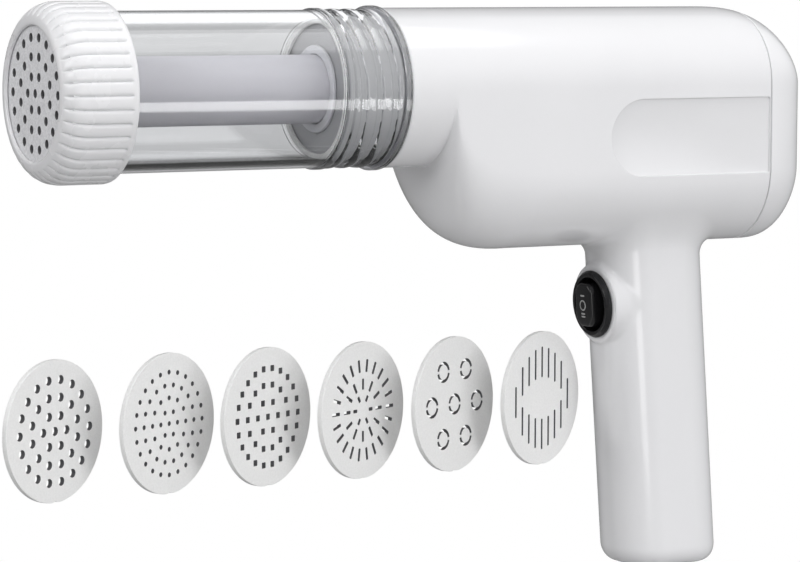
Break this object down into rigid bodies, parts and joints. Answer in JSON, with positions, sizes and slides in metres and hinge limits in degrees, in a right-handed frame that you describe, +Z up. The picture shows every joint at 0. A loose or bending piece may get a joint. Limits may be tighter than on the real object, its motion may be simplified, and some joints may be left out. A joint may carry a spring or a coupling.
{
  "type": "cordless cookie press",
  "caption": "Pistol-shaped powered cookie press: a motor-driven plunger pushes dough along a clear screw-on barrel and out through a pierced disc held by a ribbed nozzle nut.",
  "frame": {"origin": "on the flat end face of the handle, at the mount grip_base_face, in the press's plane of symmetry", "axes": "+X from the nozzle to the rear cap along the barrel axis, +Z up, the handle towards -Z, the switch faces -X"},
  "size_m": [0.298, 0.0584, 0.1968],
  "materials": {
    "white_plastic": "glossy moulded",
    "clear_plastic": "clear moulded plastic",
    "grey_plastic": "fine satin",
    "rod_plastic": "satin",
    "seal_rubber": "soft translucent white",
    "disc_metal": "bead-blasted",
    "disc_steel": "bead-blasted, pale",
    "steel": "plain",
    "brass": "machined",
    "gear_plastic": "natural",
    "black_plastic": "glossy moulded",
    "red_plastic": "wire sleeve",
    "cell_sleeve": "shrink sleeve",
    "board": "solder mask"
  },
  "bodies": {
    "lead_screw_body": {"lead_screw": "steel", "screw_gear": "gear_plastic"},
    "plunger_body": {"piston": "grey_plastic", "piston_seal": "seal_rubber", "piston_screw": "steel", "plunger_tube": "rod_plastic", "drive_nut": "brass"},
    "pinion_body": {"motor_pinion": "brass"},
    "rocker_body": {"switch_rocker": "black_plastic"},
    "barrel_draw_body": {"barrel_gasket": "seal_rubber"},
    "barrel_body": {"barrel": "clear_plastic", "nozzle_gasket": "seal_rubber"},
    "die_body": {"fitted_die": "disc_metal"},
    "cap_body": {"nozzle_cap": "white_plastic"},
    "disc_round_holes_body": {"disc_round_holes": "disc_steel"},
    "disc_fine_holes_body": {"disc_fine_holes": "disc_steel"},
    "disc_square_holes_body": {"disc_square_holes": "disc_steel"},
    "disc_radial_slots_body": {"disc_radial_slots": "disc_steel"},
    "disc_rings_body": {"disc_rings": "disc_steel"},
    "disc_bars_body": {"disc_bars": "disc_steel"},
    "housing_body": {"barrel_socket": "grey_plastic", "battery_cell_1": "cell_sleeve", "battery_cell_2": "cell_sleeve", "cell_link": "steel", "charge_board": "board", "charge_socket": "steel", "front_gear_plate": "steel", "gearbox": "steel", "gearbox_screw_1": "steel", "gearbox_screw_2": "steel", "grip_base": "white_plastic", "housing": "white_plastic", "motor": "steel", "motor_lead_black": "black_plastic", "motor_lead_red": "red_plastic", "plate_spacer_1": "steel", "plate_spacer_2": "steel", "plunger_bush": "grey_plastic", "rear_cap": "white_plastic", "rear_cap_screw_1": "steel", "rear_cap_screw_2": "steel", "rear_gear_plate": "steel", "retaining_ring": "steel", "screw_bushing": "brass", "socket_screw_1": "steel", "socket_screw_2": "steel", "socket_screw_3": "steel", "switch_body": "black_plastic", "switch_terminal_1": "steel", "switch_terminal_2": "steel", "switch_terminal_3": "steel", "thrust_bearing": "steel", "tie_screw_1": "steel", "tie_screw_2": "steel"}
  },
  "joints": [
    {"name": "screw_spin", "type": "hinge", "parent": "housing_body", "child": "lead_screw_body", "pos_m": [-0.009, 0, 0.1676], "axis": [-1, 0, 0], "range_deg": [0, 3840]},
    {"name": "plunger_slide", "type": "slide", "parent": "housing_body", "child": "plunger_body", "axis": [1, 0, 0], "range_m": [0, 0.085]},
    {"name": "pinion_spin", "type": "hinge", "parent": "housing_body", "child": "pinion_body", "pos_m": [-0.003, 0, 0.1395], "axis": [-1, 0, 0], "range_deg": [-9600, 10]},
    {"name": "rocker_tilt", "type": "hinge", "parent": "housing_body", "child": "rocker_body", "pos_m": [-0.01661, 0, 0.09167], "axis": [0, 1, 0], "range_deg": [-9, 9]},
    {"name": "barrel_turn", "type": "hinge", "parent": "barrel_draw_body", "child": "barrel_body", "pos_m": [-0.119, 0, 0.1676], "axis": [-1, 0, 0], "range_deg": [0, 1440]},
    {"name": "barrel_draw", "type": "slide", "parent": "housing_body", "child": "barrel_draw_body", "axis": [-1, 0, 0], "range_m": [0, 0.0233]},
    {"name": "cap_turn", "type": "hinge", "parent": "die_body", "child": "cap_body", "pos_m": [-0.219, 0, 0.1676], "axis": [-1, 0, 0], "range_deg": [0, 1620]},
    {"name": "cap_draw", "type": "slide", "parent": "barrel_body", "child": "die_body", "axis": [-1, 0, 0], "range_m": [0, 0.0262]},
    {"name": "disc_round_holes_lift", "type": "slide", "parent": "housing_body", "child": "disc_round_holes_body", "axis": [0.4226, -0.9063, 0], "range_m": [0, 0.006]},
    {"name": "disc_fine_holes_lift", "type": "slide", "parent": "housing_body", "child": "disc_fine_holes_body", "axis": [0.4226, -0.9063, 0], "range_m": [0, 0.006]},
    {"name": "disc_square_holes_lift", "type": "slide", "parent": "housing_body", "child": "disc_square_holes_body", "axis": [0.4226, -0.9063, 0], "range_m": [0, 0.006]},
    {"name": "disc_radial_slots_lift", "type": "slide", "parent": "housing_body", "child": "disc_radial_slots_body", "axis": [0.4226, -0.9063, 0], "range_m": [0, 0.006]},
    {"name": "disc_rings_lift", "type": "slide", "parent": "housing_body", "child": "disc_rings_body", "axis": [0.4226, -0.9063, 0], "range_m": [0, 0.006]},
    {"name": "disc_bars_lift", "type": "slide", "parent": "housing_body", "child": "disc_bars_body", "axis": [0.4226, -0.9063, 0], "range_m": [0, 0.006]}
  ],
  "couplings": [
    {"joint": "screw_spin", "follows": "plunger_slide", "rad_per_m": 785.4},
    {"joint": "pinion_spin", "follows": "plunger_slide", "rad_per_m": -1963.5},
    {"joint": "barrel_draw", "follows": "barrel_turn", "m_per_rad": 0.0009231},
    {"joint": "cap_draw", "follows": "cap_turn", "m_per_rad": 0.0009231}
  ]
}
